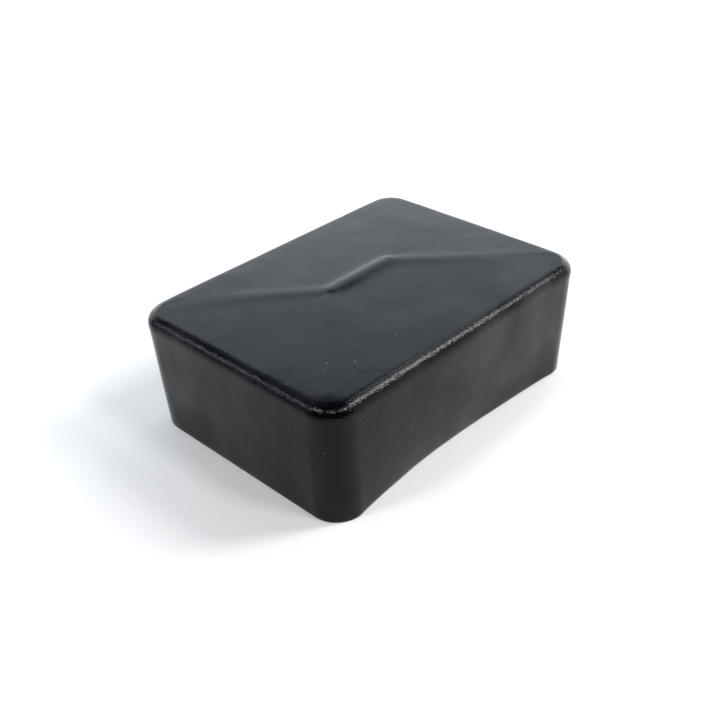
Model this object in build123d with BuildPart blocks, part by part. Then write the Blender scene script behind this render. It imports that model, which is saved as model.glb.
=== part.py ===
# A soft cap that pushes over the cut end of a rectangular box-section post.
# One moulding: four walls that lean in towards an open mouth, under a low four-sided roof with a short ridge.
# Millimetres, +Z up. The origin is the centre of the mouth, which lies in the XY plane, long side along X.
from build123d import *
from math import atan, degrees
import os

os.makedirs("parts", exist_ok=True)

# ---- The post that the cap closes ----------------------------------------------------------------------
post_length = 70.0        # long side of the post's section
post_width = 50.0         # short side of the post's section
fit_gap = 0.25            # room on each side between the post and the wall, under the roof

# ---- The walls ------------------------------------------------------------------------------------------
wall = 3.0                # thickness
eave_height = 26.7        # from the mouth up to the line where wall and roof would meet if they were sharp
mouth_lean = 0.95         # how far every wall leans in on its way down from the eave, to grip the post
skirt_bow = 2.05          # how much further the long walls bow in at the mouth, where they are least stiff
bow_place = -6.3          # where along X that bow is deepest
bow_flank = ((0.15, 0.28), (0.5, 0.69), (0.75, 0.92))  # share of the bow at a share of the way from a corner
flat_band = 3.0           # band of wall below the underside of the roof that the bow doesn't reach
corner_radius = 6.2       # upright corners, outside

# ---- The roof -------------------------------------------------------------------------------------------
roof_thickness = 3.0      # measured straight down
ridge_rise = 2.35         # from the eave line up to the ridge, before the crests are rounded
ridge_length = 16.0
ridge_shift = 1.0         # how far the ridge lies from the middle of the cap, along Y
slope_hollow = 0.35       # how far each slope sags, halfway up, below a straight line from eave to crest

# ---- Rounded edges --------------------------------------------------------------------------------------
crest_radius = 7.0        # the ridge and the four hips
eave_radius = 2.5         # where the walls turn into the roof, outside
inner_bevel = 1.2         # the same edge inside, where the core of the mould is bevelled
rim_chamfer = 0.3         # both edges of the flat rim around the mouth

# ---- What follows from these ----------------------------------------------------------------------------
half_length = post_length / 2 + fit_gap + wall
half_width = post_width / 2 + fit_gap + wall
bow_top = eave_height - roof_thickness - flat_band
ridge_height = eave_height + ridge_rise
ridge_ends = (-ridge_length / 2, ridge_length / 2)
overrun = 4.0             # how far the blocks that shape the cap reach past it


def wall_outline(inset, height):
    """The walls in plan at one height, moved in by inset: bowed long sides between round corners."""
    lean = mouth_lean * (1 - height / eave_height)
    bow = skirt_bow * max(1 - height / bow_top, 0) ** 2
    x_wall, y_wall = half_length - inset - lean, half_width - inset - lean
    radius = corner_radius - inset
    x_end, y_end = x_wall - radius, y_wall - radius
    flank = ((0, 0), *bow_flank, (1, 1))
    rising = [(-x_end + way * (bow_place + x_end), bow * share) for way, share in flank]
    falling = [(x_end + way * (bow_place - x_end), bow * share) for way, share in flank[-2::-1]]
    with BuildSketch(Plane.XY.offset(height)) as outline:
        with BuildLine():
            for side in (-1, 1):
                if bow:
                    bowed = [(x, side * (y_wall - inward)) for x, inward in rising + falling]
                    Spline(bowed, tangents=((1, 0), (1, 0)))
                else:
                    Line((-x_end, side * y_wall), (x_end, side * y_wall))
                Line((side * x_wall, -y_end), (side * x_wall, y_end))
            for quarter, (x_side, y_side) in enumerate(((1, 1), (-1, 1), (-1, -1), (1, -1))):
                CenterArc((x_side * x_end, y_side * y_end), radius, 90 * quarter, 90)
        make_face()
    return outline.sketch


def roof_section(plane, eave, crests, ridge):
    """What lies under the roof, seen end on: each side is an arc that steepens up to its crest."""
    with BuildSketch(plane) as section:
        with BuildLine():
            for side, crest in zip((-1, 1), crests):
                run = eave - side * crest
                # An arc that sags by h over a run leaves the eave 4 * h / run less steep than its chord.
                fall = (ridge_rise - 4 * slope_hollow * (1 + overrun / run)) / run
                brink = (side * (eave + overrun), ridge - ridge_rise - overrun * fall)
                middle = ((crest + side * eave) / 2, ridge - ridge_rise / 2 - slope_hollow)
                ThreePointArc(brink, middle, (crest, ridge))
                Line(brink, (side * (eave + overrun), -overrun))
            Line((-eave - overrun, -overrun), (eave + overrun, -overrun))
            if crests[0] != crests[1]:
                above = ridge + overrun
                Polyline((crests[0], ridge), (crests[0], above), (crests[1], above), (crests[1], ridge))
        make_face()
    return section.sketch


def hipped_block(inset, drop, soften, amount):
    """The cap's form as a solid block, with its walls moved in by inset and its roof lowered by drop.
    soften is what is done to the edge between walls and roof: a fillet or a chamfer of that amount."""
    ridge = ridge_height - drop
    with BuildPart() as block:
        # Above the bow the walls are flat: drawn straight up from one outline, then drafted to their lean.
        extrude(wall_outline(inset, bow_top), amount=ridge_height + overrun - bow_top)
        upper_walls = block.faces().filter_by(Axis.Z, reverse=True)
        draft(upper_walls, Plane.XY.offset(bow_top), -degrees(atan(mouth_lean / eave_height)))
        loft([wall_outline(inset, height) for height in (0, bow_top / 2, bow_top)])
        # The roof is what two long sections have in common: one sloped to the sides, one to the ends.
        side_on, end_on = Plane.YZ.offset(-half_length - overrun), Plane.XZ.offset(-half_width - overrun)
        across = roof_section(side_on, half_width, (ridge_shift, ridge_shift), ridge)
        extrude(across, amount=2 * (half_length + overrun), mode=Mode.INTERSECT)
        along = roof_section(end_on, half_length, ridge_ends, ridge)
        extrude(along, amount=2 * (half_width + overrun), mode=Mode.INTERSECT)
        crests = block.edges().filter_by(
            lambda edge: max(v.Z for v in edge.vertices()) > ridge - ridge_rise / 2
        )
        fillet(crests, radius=crest_radius)
        eave = block.edges().filter_by(
            lambda edge: all(abs(v.Z - ridge + ridge_rise) < ridge_rise / 2 for v in edge.vertices())
        )
        soften(eave, amount)
    return block.part


hollow = hipped_block(wall, roof_thickness, chamfer, inner_bevel)

with BuildPart() as post_cap:
    add(hipped_block(0, 0, fillet, eave_radius))
    add(hollow, mode=Mode.SUBTRACT)
    rim = post_cap.faces().sort_by(Axis.Z)[0]
    chamfer(rim.edges(), length=rim_chamfer)

post_cap.part.label = "post_cap"
export_step(post_cap.part, "parts/post_cap.step")

extent = post_cap.part.bounding_box().size
print(f"post_cap: {extent.X:.2f} x {extent.Y:.2f} x {extent.Z:.2f} mm, {post_cap.part.volume / 1000:.2f} cm3")
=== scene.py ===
# %% [markdown]
# # A soft cap for the end of a box-section post
#
# The object is one moulding: a thick black rubbery lid with four walls, open underneath, that is pushed over
# the cut end of a rectangular post. Three things make it look like itself: a low four-sided roof with
# rounded crests, a long soft edge where the roof turns into the walls, and a skirt that has sprung inwards
# along its two long sides. This script builds that one shell, gives it its satin, finely pebbled skin, and
# puts it on a sheet of white paper under soft studio lights.
#
# Everything is in metres in the part's own frame: +Z is up, and the mouth lies in the XY plane.

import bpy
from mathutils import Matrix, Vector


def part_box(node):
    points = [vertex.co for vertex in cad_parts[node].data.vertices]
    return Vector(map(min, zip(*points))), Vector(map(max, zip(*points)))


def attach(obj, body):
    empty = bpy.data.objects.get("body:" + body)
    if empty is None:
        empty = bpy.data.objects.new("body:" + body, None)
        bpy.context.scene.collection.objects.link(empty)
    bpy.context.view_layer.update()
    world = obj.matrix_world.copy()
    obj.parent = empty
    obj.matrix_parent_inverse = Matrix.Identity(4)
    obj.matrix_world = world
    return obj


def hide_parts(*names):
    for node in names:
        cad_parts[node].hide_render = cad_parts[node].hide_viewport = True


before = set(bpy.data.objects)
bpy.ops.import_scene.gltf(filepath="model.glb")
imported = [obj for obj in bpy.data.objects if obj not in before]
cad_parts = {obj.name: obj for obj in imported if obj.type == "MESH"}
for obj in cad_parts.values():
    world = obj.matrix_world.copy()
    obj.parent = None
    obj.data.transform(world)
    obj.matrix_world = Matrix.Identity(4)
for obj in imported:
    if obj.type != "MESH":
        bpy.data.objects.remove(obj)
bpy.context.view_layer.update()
print("frame:", sorted(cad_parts))

# %% Modules and units
import math

import bmesh
import bpy
import numpy as np
from mathutils import Matrix, Vector

MM = 0.001
scene = bpy.context.scene
scene.view_settings.view_transform = "Standard"
print("one millimetre is", MM, "of the scene's units")

# %% [markdown]
# ## The size of the shell
#
# The solid says how long, wide and tall the cap is. The rest are the moulding's own sizes: how thick its
# wall is, how much the walls lean in towards the mouth, and how its edges are rounded. A maker would read
# them off the drawing of the mould, so here they are named once and everything else follows.

# %% Sizes
low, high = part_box("post_cap")
edge_trim = 0.08 * MM                         # what the round edge takes off where wall and roof would meet
half_length = (high.x - low.x) / 2 + edge_trim
half_width = (high.y - low.y) / 2 + edge_trim
wall = 3.0 * MM
mouth_lean = 0.95 * MM                        # how far each wall leans in on its way down to the mouth
corner_radius = 6.2 * MM                      # the four upright corners
eave_radius = 2.5 * MM                        # where a wall turns into the roof
inner_radius = 1.5 * MM                       # the same edge inside
rim_radius = 0.3 * MM                         # both edges of the flat rim
print(f"half length {1000 * half_length:.2f} mm, half width {1000 * half_width:.2f} mm")

# %% [markdown]
# ## The rule of the roof
#
# The roof is four slopes. Each rises evenly from its own wall to the crests, and at any place the lowest of
# the four is the roof, so the ridge and the hips appear by themselves where two slopes are equally high. A
# plain minimum would make knife edges. A *smooth* minimum rounds them, which is what a soft moulding does.
# On top of that the material stands a little proud along the crests, as a low bead, because the thick flat
# slopes between them sank slightly as they cooled. The same shrinkage lets the roof fall a little towards
# its edges and corners.
#
# It could be modelled by hand and bevelled, but a rule gives every point of the mesh its exact height, and
# the same rule then makes the underside.

# %% The height of the roof at any place
eave_height = 26.7 * MM                       # where wall and roof would meet if the edge were sharp
ridge_rise = 1.84 * MM                        # from there to the ridge, along the flat slopes
ridge_half = 8.5 * MM                         # half the length of the ridge
ridge_shift = 1.05 * MM                       # the ridge lies this far off the middle
back_overhang = 2.9 * MM                      # the slopes at the back are longer than the cap by this much
crest_soft = 0.26 * MM                        # height over which two slopes melt together
ridge_bead = 0.49 * MM                        # how proud the ridge stands
hip_bead = 0.23 * MM                          # and the hips, where they leave the ridge
bead_width = 1.9 * MM
bead_blend = 4                                # the higher, the less two beads add up where they meet
eave_fall = 0.20 * MM                         # the slopes steepen slightly close to the edge
eave_fall_width = 3.6 * MM
corner_fall = 0.30 * MM                       # and sink a little at the four corners
corner_fall_width = 5.0 * MM


def smooth_minimum(a, b, softness):
    """The lower of a and b, with the corner between them rounded off."""
    nearness = np.clip(1 - np.abs(a - b) / softness, 0, 1)
    return np.minimum(a, b) - softness * nearness ** 2 / 4


def distance_to_segment(x, y, start, end):
    """How far (x, y) is from a stretch of crest, and how far along it the nearest point lies (0 to 1)."""
    run_x, run_y = end[0] - start[0], end[1] - start[1]
    along = ((x - start[0]) * run_x + (y - start[1]) * run_y) / (run_x ** 2 + run_y ** 2)
    along = np.clip(along, 0, 1)
    return np.hypot(x - start[0] - along * run_x, y - start[1] - along * run_y), along


def bead_height(x, y):
    """How proud the crests stand over a place in plan."""
    left_end, right_end = (-ridge_half, ridge_shift), (ridge_half, ridge_shift)
    hips = (
        (left_end, (-half_length, -half_width)),
        (left_end, (-half_length + back_overhang, half_width)),
        (right_end, (half_length, half_width)),
        (right_end, (half_length, -half_width + back_overhang)),
    )
    off_ridge, _ = distance_to_segment(x, y, left_end, right_end)
    bead = (ridge_bead * np.exp(-(off_ridge / bead_width) ** 2)) ** bead_blend
    for ridge_end, corner in hips:
        off_hip, along = distance_to_segment(x, y, ridge_end, corner)
        bead = bead + (hip_bead * (1 - along) * np.exp(-(off_hip / bead_width) ** 2)) ** bead_blend
    return bead ** (1 / bead_blend)


def roof_height(x, y, beads=True):
    """Height of the outer skin of the roof over a place in plan."""
    front = (y + half_width) / (half_width + ridge_shift)
    back = (half_width + back_overhang - y) / (half_width + back_overhang - ridge_shift)
    left = (x + half_length) / (half_length - ridge_half)
    right = (half_length + back_overhang - x) / (half_length + back_overhang - ridge_half)
    sides = smooth_minimum(front * ridge_rise, back * ridge_rise, crest_soft)
    ends = smooth_minimum(left * ridge_rise, right * ridge_rise, crest_soft)
    height = eave_height + smooth_minimum(sides, ends, crest_soft)
    in_y, in_x = half_width - np.abs(y), half_length - np.abs(x)
    height = height - eave_fall * np.exp(-np.maximum(np.minimum(in_y, in_x), 0) / eave_fall_width)
    from_corner = np.hypot(np.maximum(in_y, 0), np.maximum(in_x, 0))
    height = height - corner_fall * np.exp(-from_corner / corner_fall_width)
    return height + bead_height(x, y) if beads else height


print(f"ridge stands at {1000 * float(roof_height(np.array(0.0), np.array(ridge_shift))):.2f} mm")

# %% [markdown]
# ## One loop of points, many times
#
# A shell like this can be built from closed loops: each loop runs once round the cap, and the next one lies
# a little further along the section. All loops have the same number of points, so a strip of faces joins
# each pair. The straight sides get evenly spaced points and the corners get an arc. A box with bevels would
# be quicker to make, but its rounded edge would not follow a roof that is a little different everywhere.

# %% A loop in plan: a rectangle with round corners
LONG_STEPS, SHORT_STEPS, CORNER_STEPS = 120, 80, 10    # points along each long side, short side and corner


def plan_loop(half_x, half_y, radius):
    """A round-cornered rectangle, anticlockwise, beginning where the +X wall leaves the -Y corner."""
    points = []
    end_x, end_y = half_x - radius, half_y - radius
    sides = (
        ((half_x, -end_y), SHORT_STEPS, (1, 1), 0),
        ((end_x, half_y), LONG_STEPS, (-1, 1), 90),
        ((-half_x, end_y), SHORT_STEPS, (-1, -1), 180),
        ((-end_x, -half_y), LONG_STEPS, (1, -1), 270),
    )
    for start, steps, (x_side, y_side), turn in sides:
        angles = np.radians(turn + 90 * np.arange(CORNER_STEPS) / CORNER_STEPS)
        arc_x = x_side * end_x + radius * np.cos(angles)
        arc_y = y_side * end_y + radius * np.sin(angles)
        way = np.arange(steps)[:, None] / steps
        stretch = np.array(start) + way * (np.array((arc_x[0], arc_y[0])) - np.array(start))
        points += [stretch, np.stack((arc_x, arc_y), axis=1)]
    return np.concatenate(points)


def wall_loop(height, inset=0.0):
    """The loop of the walls at one height, moved in by inset."""
    lean = mouth_lean * (1 - height / eave_height)
    return plan_loop(half_length - lean - inset, half_width - lean - inset, corner_radius - inset)


print("points in a loop:", len(wall_loop(0.0)))

# %% [markdown]
# ## The soft edge between wall and roof
#
# Seen in section, the wall comes up with a slight outward lean and the roof leaves with a slight rise. A
# fillet is an arc that touches both. Its centre is the one point that is a radius away from each line, so
# two small equations give it, for every point of the loop at once. That way the fillet also fits at the
# corners, where the roof starts a little lower than along the sides. A Bevel modifier could round the edge
# too, but it would add points of its own, and here every loop has to keep the same number.

# %% The fillet, worked out for every point of a loop
def fillet_rings(inset, drop, radius, steps):
    """Loops from the wall to the roof round an edge of the given radius, as arrays of x, y, z."""
    lean_angle = math.atan(mouth_lean / eave_height)
    top = eave_height - drop
    outline = wall_loop(top, inset)
    inner = wall_loop(top, inset + radius)
    edge = roof_height(outline[:, 0], outline[:, 1], beads=False) - drop
    rise = np.arctan2(roof_height(inner[:, 0], inner[:, 1], beads=False) - drop - edge, radius)
    # Normals of wall and roof in the plane of the section: first outward, then up.
    wall_out, wall_up = math.cos(lean_angle), -math.sin(lean_angle)
    roof_out, roof_up = np.sin(rise), np.cos(rise)
    spread = wall_out * roof_up - wall_up * roof_out
    centre_out = -radius * (roof_up - wall_up) / spread
    centre_up = -radius * (wall_out - roof_out) / spread
    rings = []
    for step in range(steps + 1):
        angle = -lean_angle + (math.pi / 2 - rise + lean_angle) * step / steps
        out = centre_out + radius * np.cos(angle)
        up = centre_up + radius * np.sin(angle)
        way = -out[:, None] / radius
        plan = outline * (1 - way) + inner * way
        rings.append(np.column_stack((plan, edge + up)))
    return rings


outer_edge = fillet_rings(inset=0.0, drop=0.0, radius=eave_radius, steps=10)
inner_edge = fillet_rings(inset=wall, drop=wall, radius=inner_radius, steps=5)
first_height, last_height = 1000 * outer_edge[0][0, 2], 1000 * outer_edge[-1][0, 2]
print(f"the outer edge runs from {first_height:.2f} to {last_height:.2f} mm high")

# %% [markdown]
# ## From the edge to the ridge, and down to the rim
#
# Over the roof the loops shrink towards the ridge: each point slides straight to its own place on the ridge
# line, and the rule gives its height. The last loop lies flat on the ridge, so its points fall on each other
# in pairs and are merged later, which closes the shell. A square grid over the roof would be the other way,
# but it would meet the round corners badly.
#
# The walls are plain: every point moves in a straight line from the rim up to the start of the fillet. The
# rim itself is flat, because the mould closes there, with two small round edges.

# %% Loops over the roof, the walls and the rim
def with_height(plan, height):
    """A loop in space, from its plan and one height or a height for each point."""
    return np.column_stack((plan, np.broadcast_to(height, len(plan))))


def roof_rings(first, drop, steps, beads):
    """Loops from the loop called first to the ridge."""
    x_share = np.clip(first[:, 0] / (half_length - corner_radius), -1, 1)
    goal = np.column_stack((ridge_half * x_share, np.full(len(first), ridge_shift)))
    rings = []
    for step in range(1, steps + 1):
        way = step / steps
        plan = first[:, :2] * (1 - way) + goal * way
        rings.append(with_height(plan, roof_height(plan[:, 0], plan[:, 1], beads) - drop))
    return rings


def wall_rings(bottom, top_ring, inset, steps):
    """Loops up one face of the walls, from a height just over the rim to the start of the fillet."""
    foot, head = wall_loop(0.0, inset), wall_loop(eave_height, inset)
    rings = []
    for step in range(steps):
        height = bottom + (top_ring[:, 2] - bottom) * step / steps
        rings.append(with_height(foot + (head - foot) * height[:, None] / eave_height, height))
    return rings


def rim_rings(inset, away, steps=3):
    """The small round edge of the rim: from the flat rim at z = 0 to the face of the wall."""
    rings = []
    for step in range(steps):
        angle = math.pi / 2 * step / steps
        height = rim_radius * (1 - math.cos(angle))
        moved = inset + away * rim_radius * (1 - math.sin(angle))
        rings.append(with_height(wall_loop(height, moved), height))
    return rings


inside = rim_rings(wall, away=-1) + wall_rings(rim_radius, inner_edge[0], wall, steps=14) + inner_edge
inside += roof_rings(inner_edge[-1], drop=wall, steps=30, beads=False)
outside = rim_rings(0.0, away=1) + wall_rings(rim_radius, outer_edge[0], 0.0, steps=22) + outer_edge
outside += roof_rings(outer_edge[-1], drop=0.0, steps=64, beads=True)
loops = inside[::-1] + outside
print("loops:", len(inside), "inside and", len(outside), "outside")

# %% [markdown]
# ## One closed mesh
#
# The loops run from the ridge inside, down to the rim, and up again to the ridge outside. Joined in that
# order they make one skin with no edge left open, which is what the real cap has. A block with a hollow cut
# out of it by a Boolean modifier would have the same shape, but ragged faces along the cut.

# %% Join the loops into one closed mesh
MERGE_DISTANCE = 0.0001 * MM


def shell_from_loops(name, rings):
    """Strips of faces between neighbouring loops, with coinciding points merged and faces outward."""
    count = len(rings[0])
    here = np.arange(count)
    ahead = np.roll(here, -1)
    strip = np.column_stack((here, ahead, ahead + count, here + count))
    quads = [strip + count * k for k in range(len(rings) - 1)]
    mesh = bpy.data.meshes.new(name)
    mesh.from_pydata(np.concatenate(rings).tolist(), [], np.concatenate(quads).tolist())
    work = bmesh.new()
    work.from_mesh(mesh)
    bmesh.ops.remove_doubles(work, verts=work.verts, dist=MERGE_DISTANCE)
    if work.calc_volume(signed=True) < 0:
        bmesh.ops.reverse_faces(work, faces=work.faces)
    open_edges = sum(not edge.is_manifold for edge in work.edges)
    volume = work.calc_volume(signed=True)
    for face in work.faces:
        face.smooth = True
    work.to_mesh(mesh)
    work.free()
    print(f"{name}: {len(mesh.polygons)} faces, {open_edges} open edges, {volume * 1e6:.2f} cm3")
    return mesh


cap_mesh = shell_from_loops("cap_moulding", loops)
cap = bpy.data.objects.new("cap_moulding", cap_mesh)
scene.collection.objects.link(cap)

# %% [markdown]
# ## Two trees of nodes
#
# The material and the soft bending are both made with nodes, and the same few helpers make them. An input
# is named, or numbered where names repeat, and is given a plain value or the output that feeds it.

# %% Helpers that make and wire nodes
COLUMNS, COLUMN_WIDTH, ROW_HEIGHT = 8, 220, 340


def node(tree, kind, inputs=None, **settings):
    """A new node with its settings and inputs, placed on a grid in the order of making."""
    made = tree.nodes.new(kind)
    row, column = divmod(len(tree.nodes), COLUMNS)
    made.location = (COLUMN_WIDTH * column, -ROW_HEIGHT * row)
    for key, value in settings.items():
        setattr(made, key, value)
    for key, value in (inputs or {}).items():
        if isinstance(value, bpy.types.NodeSocket):
            tree.links.new(value, made.inputs[key])
        else:
            made.inputs[key].default_value = value
    return made


def math_node(tree, operation, a, b=0.0, clamp=False):
    """The result of one calculation with two numbers or outputs."""
    made = node(tree, "ShaderNodeMath", {0: a, 1: b}, operation=operation, use_clamp=clamp)
    return made.outputs[0]


def noise_node(tree, where, scale, detail, distortion=0.0):
    """A soft random value from 0 to 1 at every place; scale is how many lumps go into a metre."""
    made = node(tree, "ShaderNodeTexNoise", {
        "Vector": where, "Scale": scale, "Detail": detail, "Distortion": distortion,
    })
    return made.outputs["Fac"]


def remap(tree, value, span, to):
    """A value stretched from one span onto another, and held at its ends."""
    made = node(tree, "ShaderNodeMapRange", {
        "Value": value, "From Min": span[0], "From Max": span[1], "To Min": to[0], "To Max": to[1],
    })
    return made.outputs["Result"]


print("helpers: node, math_node, noise_node, remap")

# %% [markdown]
# ## The skin
#
# The cap is near-black rubber. Four things keep it from looking like a plastic toy. Its mould was lightly
# textured, which leaves a fine pebble that breaks every highlight into sparks, most of all along the rounded
# edge. The surface carries a slow swell. A thin grey sheen is painted in patches over the walls, a painted
# reflection that stands for their mottled look, and it is left off one corner, which paints shade there. And
# a few specks of dust have landed on it.
#
# All this could be painted on an image, but the cap would have to be unwrapped for it. Here it follows the
# object's own coordinates, so nothing is unwrapped, and the pattern stays in place when the part is moved.
#
# The skin is set to reflect less than smooth rubber would. Partly that is the pebble, whose tiny hollows
# swallow light. Partly it makes up for the lamps further down, which are brighter than plain light.

# %% The skin's base
rubber = bpy.data.materials.new("satin_black_rubber")
rubber.use_nodes = True
skin = rubber.node_tree
skin_shader = skin.nodes["Principled BSDF"]
skin_shader.inputs["IOR"].default_value = 1.5
skin_shader.inputs["Specular IOR Level"].default_value = 0.16
place = node(skin, "ShaderNodeTexCoord").outputs["Object"]
place_height = node(skin, "ShaderNodeSeparateXYZ", {0: place}).outputs["Z"]
print("material:", rubber.name)

# %% [markdown]
# Colour: black with a trace of blue. A grey sheen is painted in patches as a painted reflection: thickest on
# the walls, thinner on the roof, and all but gone around the corner at -X, -Y, where its absence paints
# shade on that corner. Dust is a speck wherever the centre of a cell happens to lie in the skin.

# %% Colour
BLACK = (0.0007, 0.0008, 0.0015, 1)
# The next grey is a painted reflection: laid in patches, mostly on the walls, it stands for their mottled
# reflections.
PAINTED_SHEEN = (0.025, 0.026, 0.027, 1)
DUST = (0.15, 0.15, 0.145, 1)
sheen_scale = 70
sheen_edges = (0.42, 0.66)                    # the noise where a patch of painted sheen begins, and where it is thickest
wall_to_roof = (25 * MM, 27 * MM)             # the heights between which the painted sheen grows thin
sheen_on_roof = 0.3                           # as a share of what is on the walls
# Painted shade: around this corner the grey sheen is taken away, so the corner looks darker.
painted_shade_corner = (-half_length, -half_width, 15 * MM)
painted_shade_reach = (12 * MM, 60 * MM)             # how far from there the painted shade is deepest, and where it ends
sheen_at_shaded_corner = 0.1                  # as a share of what is left elsewhere
dust_scale = 210
dust_edges = (0.024, 0.040)                   # where a speck begins to fade, and ends, in sizes of a cell

sheen_noise = noise_node(skin, place, sheen_scale, detail=1.5, distortion=0.6)
sheen_patches = remap(skin, sheen_noise, sheen_edges, (0.0, 1.0))
sheen_by_height = remap(skin, place_height, wall_to_roof, (1.0, sheen_on_roof))
from_shaded_corner = node(skin, "ShaderNodeVectorMath", {0: place, 1: painted_shade_corner}, operation="DISTANCE")
outside_painted_shade = remap(skin, from_shaded_corner.outputs["Value"], painted_shade_reach, (sheen_at_shaded_corner, 1.0))
# Painted reflection in patches on the walls, with painted shade around one corner where it is taken off.
painted_sheen = math_node(skin, "MULTIPLY", math_node(skin, "MULTIPLY", sheen_patches, sheen_by_height), outside_painted_shade)
tint = node(skin, "ShaderNodeMix", {"Factor": painted_sheen, "A": BLACK, "B": PAINTED_SHEEN}, data_type="RGBA")
cells = node(skin, "ShaderNodeTexVoronoi", {"Vector": place, "Scale": dust_scale})
dust = remap(skin, cells.outputs["Distance"], dust_edges, (1.0, 0.0))
dusty = node(skin, "ShaderNodeMix", {
    "Factor": dust, "A": tint.outputs["Result"], "B": DUST,
}, data_type="RGBA")
skin.links.new(dusty.outputs["Result"], skin_shader.inputs["Base Color"])
print("nodes after the colour:", len(skin.nodes))

# %% [markdown]
# Roughness: patches where it was handled, faint streaks from sliding about, and the dust, which is dull.

# %% Roughness
satin = (0.12, 0.16)                          # roughness, from the smoothest patch to the dullest
patch_scale = 150
patch_edges = (0.3, 0.7)                      # the noise in the smoothest patch, and in the dullest
streak_scale = (60, 900, 60)                  # much finer across than along, so the noise becomes streaks
streak_turn = 0.5                             # in radians, about Z
streak_edges = (0.72, 0.76)                   # only the tops of the noise show
streak_roughness = 0.04

patches = remap(skin, noise_node(skin, place, patch_scale, detail=3), patch_edges, satin)
drawn_out = node(skin, "ShaderNodeMapping", {
    "Vector": place, "Rotation": (0.0, 0.0, streak_turn), "Scale": streak_scale,
})
streak_noise = noise_node(skin, drawn_out.outputs["Vector"], scale=1.0, detail=1)
streaks = remap(skin, streak_noise, streak_edges, (0.0, streak_roughness))
rough = math_node(skin, "ADD", math_node(skin, "ADD", patches, streaks), dust)
skin.links.new(rough, skin_shader.inputs["Roughness"])
print("nodes after the roughness:", len(skin.nodes))

# %% [markdown]
# Relief: the swell bends the reflections slowly, and the pebble breaks them up. The pebble is strongest on
# the rounded edge. The roof and the walls are smoother, so it fades out above and below. Both are far too
# fine to be worth a mesh, so they are bumps.

# %% Relief
swell_scale, swell_depth = 130, 0.13 * MM
pebble_scale, pebble_depth = 2500, 0.085 * MM
faded = 0.2                                   # what is left of the pebble away from the edge
edge_to_roof = (26.2 * MM, 26.8 * MM)         # the heights between which it fades upwards
wall_to_edge = (19.0 * MM, 24.0 * MM)         # and downwards

fade_above = remap(skin, place_height, edge_to_roof, (1.0, faded))
fade_below = remap(skin, place_height, wall_to_edge, (faded, 1.0))
swell = node(skin, "ShaderNodeBump", {
    "Strength": 1.0, "Distance": swell_depth,
    "Height": noise_node(skin, place, swell_scale, detail=2),
})
pebble = node(skin, "ShaderNodeBump", {
    "Strength": math_node(skin, "MINIMUM", fade_above, fade_below), "Distance": pebble_depth,
    "Height": noise_node(skin, place, pebble_scale, detail=1), "Normal": swell.outputs["Normal"],
})
skin.links.new(pebble.outputs["Normal"], skin_shader.inputs["Normal"])
print("nodes after the relief:", len(skin.nodes))

# %% [markdown]
# ## What being soft does to it
#
# The straight-walled shell is the shape of the mould. Out of the mould the long sides spring inwards at the
# mouth, where nothing holds them apart, and the skin is never perfectly flat. It could be sculpted, but both
# follow a rule that depends only on where a point is, so they are made with Geometry Nodes: the tree moves
# each point, and its inputs are the depth of the bow, its place, how far up and along it reaches, and the
# height and size of the unevenness.

# %% The tree and its inputs
bending = bpy.data.node_groups.new("soft_moulding", "GeometryNodeTree")
bending.interface.new_socket("Geometry", in_out="INPUT", socket_type="NodeSocketGeometry")
for name in ("Bow Depth", "Bow Place", "Bow Top", "Bow Reach", "Unevenness", "Uneven Scale", "Seed"):
    bending.interface.new_socket(name, in_out="INPUT", socket_type="NodeSocketFloat")
bending.interface.new_socket("Geometry", in_out="OUTPUT", socket_type="NodeSocketGeometry")
given = node(bending, "NodeGroupInput").outputs
position = node(bending, "GeometryNodeInputPosition").outputs[0]
point_x, point_y, point_z = node(bending, "ShaderNodeSeparateXYZ", {0: position}).outputs
print("inputs:", [socket.name for socket in given if socket.name])

# %% [markdown]
# The bow is deepest at one place along the side. From there it runs out to nothing at both corners, along
# a soft curve, and it fades with the square of the height, as a bending strip does.

# %% The bow of the long sides
# Each pair is a share of the way in from a corner, and the share of the bow that is reached there.
BOW_FLANK = ((0.15, 0.28), (0.5, 0.69), (0.75, 0.92))


def bow_offset(tree):
    """How far each point moves: towards the middle of the cap, along Y."""
    reach, deepest = given["Bow Reach"], given["Bow Place"]
    left_run = math_node(tree, "ADD", deepest, reach)
    right_run = math_node(tree, "SUBTRACT", reach, deepest)
    from_left = math_node(tree, "DIVIDE", math_node(tree, "ADD", point_x, reach), left_run)
    from_right = math_node(tree, "DIVIDE", math_node(tree, "SUBTRACT", reach, point_x), right_run)
    way = math_node(tree, "MINIMUM", from_left, from_right, clamp=True)
    flank = node(tree, "ShaderNodeFloatCurve", {"Value": way})
    curve = flank.mapping.curves[0]
    curve.points[0].location = (0, 0)
    curve.points[1].location = (1, 1)
    for point in BOW_FLANK:
        curve.points.new(*point)
    flank.mapping.update()
    share_up = math_node(tree, "DIVIDE", point_z, given["Bow Top"])
    fade = math_node(tree, "POWER", math_node(tree, "SUBTRACT", 1.0, share_up, clamp=True), 2.0)
    share = math_node(tree, "MULTIPLY", flank.outputs[0], fade)
    depth = math_node(tree, "MULTIPLY", share, given["Bow Depth"])
    outward = math_node(tree, "MULTIPLY", depth, math_node(tree, "SIGN", point_y))
    inward = math_node(tree, "MULTIPLY", outward, -1.0)
    return node(tree, "ShaderNodeCombineXYZ", {"Y": inward}).outputs[0]


bowed = node(bending, "GeometryNodeSetPosition", {
    "Geometry": given["Geometry"], "Offset": bow_offset(bending),
})
print("nodes after the bow:", len(bending.nodes))

# %% [markdown]
# The unevenness is a slow noise along the surface's own normal. It mostly sinks, as cooling rubber does,
# and it stops short of the rim, which stays flat.

# %% The unevenness of the skin
STAYS_PUT = 0.64                              # the value of the noise that leaves the skin where it is
EVEN_FOOT = 3 * MM                            # over this height the unevenness sets in


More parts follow.
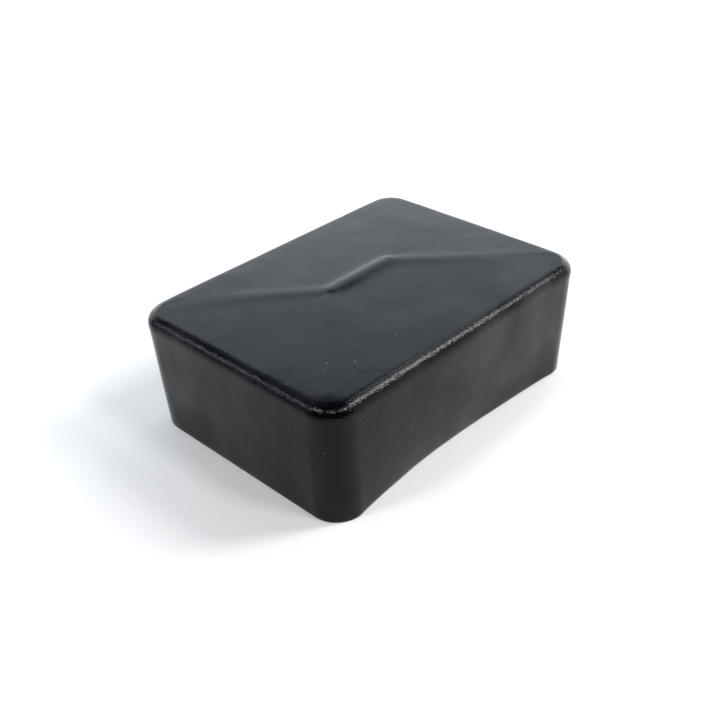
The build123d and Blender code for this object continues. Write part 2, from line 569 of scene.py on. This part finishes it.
def uneven_offset(tree):
    """How far each point moves along its normal."""
    ripple = node(tree, "ShaderNodeTexNoise", {
        "Vector": position, "Scale": given["Uneven Scale"], "Detail": 1.5, "W": given["Seed"],
    }, noise_dimensions="4D")
    raised = math_node(tree, "SUBTRACT", ripple.outputs["Fac"], STAYS_PUT)
    height = math_node(tree, "MULTIPLY", raised, given["Unevenness"])
    off_rim = math_node(tree, "DIVIDE", point_z, EVEN_FOOT, clamp=True)
    height = math_node(tree, "MULTIPLY", height, off_rim)
    normal = node(tree, "GeometryNodeInputNormal").outputs[0]
    return node(tree, "ShaderNodeVectorMath", {0: normal, "Scale": height}, operation="SCALE").outputs[0]


uneven = node(bending, "GeometryNodeSetPosition", {
    "Geometry": bowed.outputs[0], "Offset": uneven_offset(bending),
})
real = node(bending, "GeometryNodeRealizeInstances", {0: uneven.outputs[0]})
painted = node(bending, "GeometryNodeSetMaterial", {"Geometry": real.outputs[0], "Material": rubber})
node(bending, "NodeGroupOutput", {0: painted.outputs[0]})
print("nodes in the tree:", len(bending.nodes))

# %% [markdown]
# The tree runs once, with this cap's own numbers, and its result is kept as a plain mesh. It could stay on
# the cap as a modifier, but then the cap could not be handed on without the tree. A modifier's input is set
# by the identifier of its socket, because its name need not be the only one of its kind.

# %% Run the tree and keep its result as a plain mesh
def apply_tree(piece, tree, values):
    """Runs a tree on a piece with the given inputs and leaves the piece as a plain mesh."""
    modifier = piece.modifiers.new(tree.name, "NODES")
    modifier.node_group = tree
    keys = {item.name: item.identifier for item in tree.interface.items_tree if item.in_out == "INPUT"}
    for name, value in values.items():
        modifier[keys[name]] = value
    bpy.context.view_layer.update()
    evaluated = piece.evaluated_get(bpy.context.evaluated_depsgraph_get())
    made = bpy.data.meshes.new_from_object(evaluated)
    piece.modifiers.clear()
    piece.data = made
    made.name = piece.name


apply_tree(cap, bending, {
    "Bow Depth": 2.05 * MM,
    "Bow Place": -6.3 * MM,
    "Bow Top": 20.7 * MM,
    "Bow Reach": half_length - mouth_lean - corner_radius,
    "Unevenness": 0.10 * MM,
    "Uneven Scale": 75.0,
    "Seed": 4.0,
})
print("after bending:", len(cap.data.polygons), "faces, material", [m.name for m in cap.data.materials])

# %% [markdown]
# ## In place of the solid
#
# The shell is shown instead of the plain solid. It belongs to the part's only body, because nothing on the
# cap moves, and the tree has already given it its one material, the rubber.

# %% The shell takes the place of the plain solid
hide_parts("post_cap")
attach(cap, "root")
print(cap.name, "stands for post_cap")

# %% [markdown]
# ## The paper
#
# A product of this kind is usually shown on a sheet of white paper. The sheet is part of the stage, not of
# the object. It is a pale, quite dull surface that is lit like everything else, and it keeps the cap's
# shadow. Most of its whiteness comes from the lamps, and a little from a light of its own, only where it is
# seen or mirrored. A white world with no sheet in it would be simpler, but then the cap would float.

# %% Table
PAPER = (0.70, 0.70, 0.70, 1)
paper_lift = 0.03                             # where 1 would be white by itself
sheet_half = 3.0                              # in metres, so that no edge of it is ever seen
sheet_height = low.z - 0.02 * MM              # a hair below the rim

paper = bpy.data.materials.new("white_paper")
paper.use_nodes = True
path = node(paper.node_tree, "ShaderNodeLightPath").outputs
seen = path["Is Camera Ray"]
for ray in ("Is Glossy Ray", "Is Transmission Ray"):
    seen = math_node(paper.node_tree, "MAXIMUM", seen, path[ray])
lifted = math_node(paper.node_tree, "MULTIPLY", seen, paper_lift)
paper_shader = paper.node_tree.nodes["Principled BSDF"]
paper_shader.inputs["Base Color"].default_value = PAPER
paper_shader.inputs["Roughness"].default_value = 0.9
paper_shader.inputs["Specular IOR Level"].default_value = 0.0
paper_shader.inputs["Emission Color"].default_value = (1, 1, 1, 1)
paper.node_tree.links.new(lifted, paper_shader.inputs["Emission Strength"])

sheet = bpy.data.meshes.new("table")
around = ((-1, -1), (1, -1), (1, 1), (-1, 1))
sheet.from_pydata([(sheet_half * x, sheet_half * y, sheet_height) for x, y in around], [], [(0, 1, 2, 3)])
sheet.materials.append(paper)
table = bpy.data.objects.new("table", sheet)
scene.collection.objects.link(table)
print(f"table at {1000 * sheet_height:.2f} mm")

# %% [markdown]
# ## The light
#
# A black satin thing shows hardly anything but what it mirrors, so each light is there for one part of the
# cap: a wide one at the back for the slopes, a low one under it for the far slopes and the line along the
# ridge, a tall one at the right for the long edge, a bluish one at the left for the short edge, and three
# small ones behind the camera for the sparks on the near corner. The rest fill the gaps beside these, so
# that no slope ends in the dark. Where there is no lamp the room stays dim, which draws the dark lines along
# the edges.
#
# Together they are about 1.6 times as bright as plain light, so a colour shows brighter here than it is
# written. Under plain light the cap would look darker.
#
# A ready-made picture of a studio round the scene could light the cap as well, but nothing in it could be
# moved. Every light here is placed by where it is seen from the cap, because that decides where it is
# mirrored.

# %% Soft lights
azimuth = math.radians(-44.818)               # the direction from which the camera looks
far = Vector((-math.sin(azimuth), math.cos(azimuth), 0))
rightward = Vector((math.cos(azimuth), math.sin(azimuth), 0))
lamp_distance = 0.6
cap_middle = Vector((0, 0, 15 * MM))
NEUTRAL, COOL, COOLER, COOLEST = (1, 1, 1), (0.88, 0.94, 1.0), (0.86, 0.92, 1.0), (0.80, 0.89, 1.0)

# Name; bearing, clockwise from the far side; height; half its width and half its height as seen from the
# cap, all four in degrees; brightness of its face; colour.
LAMPS = (
    ("back_low_left", -42, 12, 20, 20, 2.0, NEUTRAL),
    ("back_low_right", 45, 12, 20, 20, 3.0, NEUTRAL),
    ("back_low", 0, 12, 40, 13, 1.7, COOL),
    ("back_middle", 0, 36.5, 36, 11.5, 2.2, COOLEST),
    ("right_low", 90, 12, 20, 20, 1.1, NEUTRAL),
    ("right_high", 50, 53, 20, 9, 2.7, NEUTRAL),
    ("key", 84, 43, 7, 15, 22.0, NEUTRAL),
    ("left_middle", -88, 31, 7, 13, 5.5, COOLEST),
    ("left_high", -50, 53, 20, 9, 0.6, COOLEST),
    ("left_low", -90, 12, 20, 20, 0.45, COOLER),
    ("front_left", -123, 50, 6, 6, 30.0, NEUTRAL),
    ("front", 180, 55, 6, 6, 20.0, NEUTRAL),
    ("front_right", 124, 50, 6, 6, 26.0, NEUTRAL),
)


def softbox(name, bearing, height, half_across, half_up, brightness, colour):
    """An oval soft light that faces the cap."""
    bearing, height = math.radians(bearing), math.radians(height)
    towards = math.cos(height) * (math.cos(bearing) * far + math.sin(bearing) * rightward)
    towards.z = math.sin(height)
    lamp = bpy.data.lights.new(name, "AREA")
    lamp.shape = "ELLIPSE"
    lamp.size = 2 * lamp_distance * math.tan(math.radians(half_across))
    lamp.size_y = 2 * lamp_distance * math.tan(math.radians(half_up))
    # A lamp's power is pi times its brightness, over the area of the oval.
    lamp.energy = brightness * math.pi * math.pi / 4 * lamp.size * lamp.size_y
    lamp.color = colour
    made = bpy.data.objects.new(name, lamp)
    made.location = cap_middle + lamp_distance * towards
    made.rotation_euler = towards.to_track_quat("Z", "Y").to_euler()
    made.visible_camera = False
    scene.collection.objects.link(made)


for lamp in LAMPS:
    softbox(*lamp)
print("lamps:", [lamp[0] for lamp in LAMPS])

# %% [markdown]
# ## The dim room
#
# Whatever no lamp covers is a faint bluish grey, as the walls of a darkened studio would be.

# %% The dim room
world = bpy.data.worlds.new("studio")
world.use_nodes = True
room = world.node_tree.nodes["Background"]
room.inputs["Color"].default_value = (0.8, 0.88, 1.0, 1)
room.inputs["Strength"].default_value = 0.1
scene.world = world
print("world:", world.name)

# %% [markdown]
# ## The camera
#
# It looks down at a corner from close by, so the far walls are clearly smaller than the near one. The
# azimuth, the elevation, a slight roll and the distance place it, and the lens sets the field of view.

# %% Camera
elevation, roll = math.radians(33.392), math.radians(-2.612)
camera_distance = 210.98 * MM
aim_right, aim_up = -1.54 * MM, -4.78 * MM    # where it aims, measured from the middle of the cap
backward = Vector((math.sin(azimuth) * math.cos(elevation), -math.cos(azimuth) * math.cos(elevation),
                   math.sin(elevation)))
level_up = backward.cross(rightward)
right = math.cos(roll) * rightward + math.sin(roll) * level_up
upward = math.cos(roll) * level_up - math.sin(roll) * rightward
aim = Vector((0, 0, eave_height / 2)) + aim_right * right + aim_up * upward
lens = bpy.data.cameras.new("camera")
lens.sensor_width = 36                        # both in millimetres
lens.lens = 49.02
lens.clip_start = 0.01
camera = bpy.data.objects.new("camera", lens)
scene.collection.objects.link(camera)
turn = Matrix((right, upward, backward)).transposed().to_4x4()
camera.matrix_world = Matrix.Translation(aim + camera_distance * backward) @ turn
scene.camera = camera
print("camera at", [round(1000 * v, 1) for v in camera.location], "mm")
